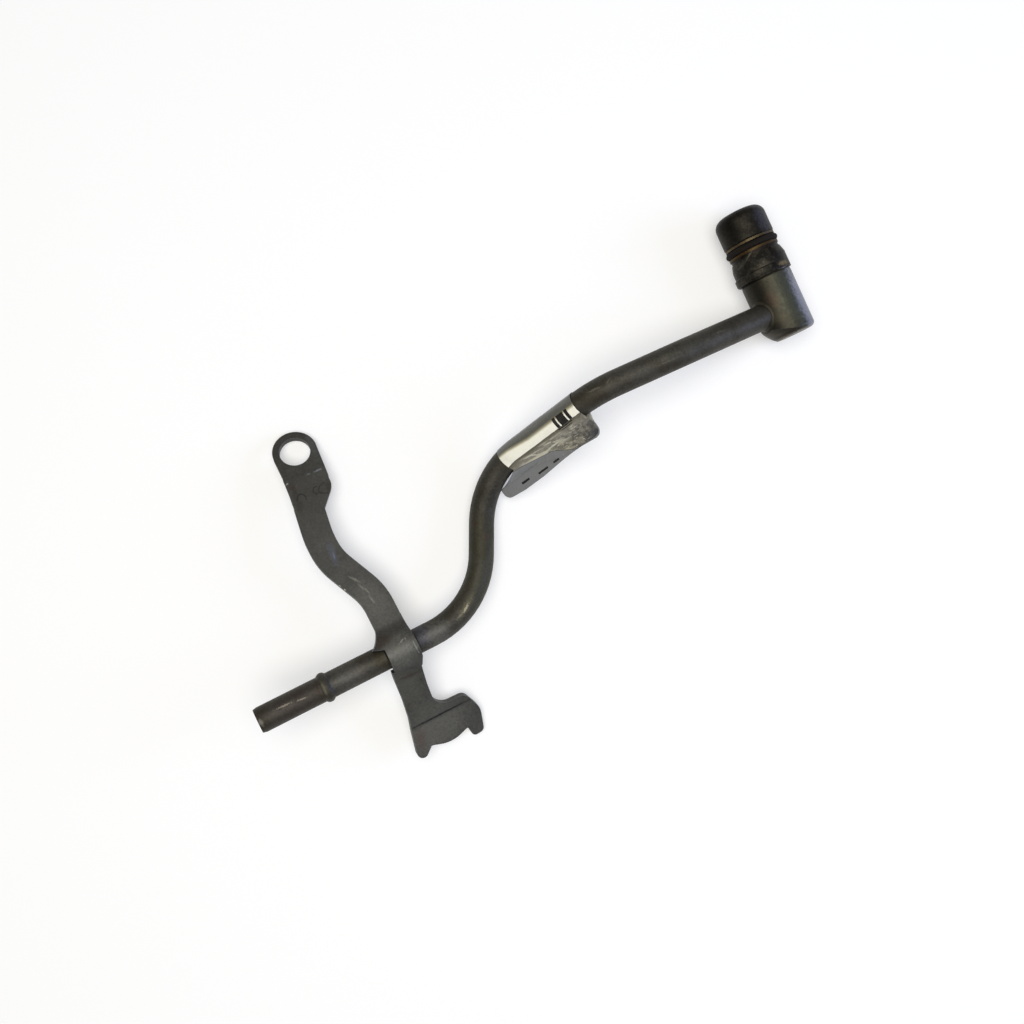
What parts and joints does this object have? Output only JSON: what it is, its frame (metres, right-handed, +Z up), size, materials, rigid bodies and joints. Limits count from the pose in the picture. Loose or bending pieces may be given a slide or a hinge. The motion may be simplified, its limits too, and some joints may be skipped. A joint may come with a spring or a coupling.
{
  "type": "turbo coolant pipe",
  "caption": "Bent steel coolant pipe for a turbocharger, with a hose spigot, a brazed strap bracket and a plug-in connector with a seal ring.",
  "frame": {"origin": "bottom centre of the part's bounding box, on the surface that it lies on", "axes": "+Z up from the surface that the part lies on, +Y towards the connector's plug end, +X from the hose spigot towards the connector"},
  "size_m": [0.214, 0.2162, 0.0386],
  "materials": {
    "tube_steel": "dull furnace-brazed steel",
    "block_steel": "satin turned steel",
    "bracket_steel": "dull pressed steel sheet",
    "seal_rubber": "matt black rubber",
    "braze_metal": "dull copper braze",
    "label_film": "silver-grey film"
  },
  "bodies": {
    "root": {"pipe": "tube_steel", "connector_block": "block_steel", "connector_spigot": "block_steel", "seal_ring": "seal_rubber", "block_braze": "braze_metal", "bracket": "bracket_steel", "bracket_braze": "braze_metal", "label": "label_film"}
  },
  "joints": []
}
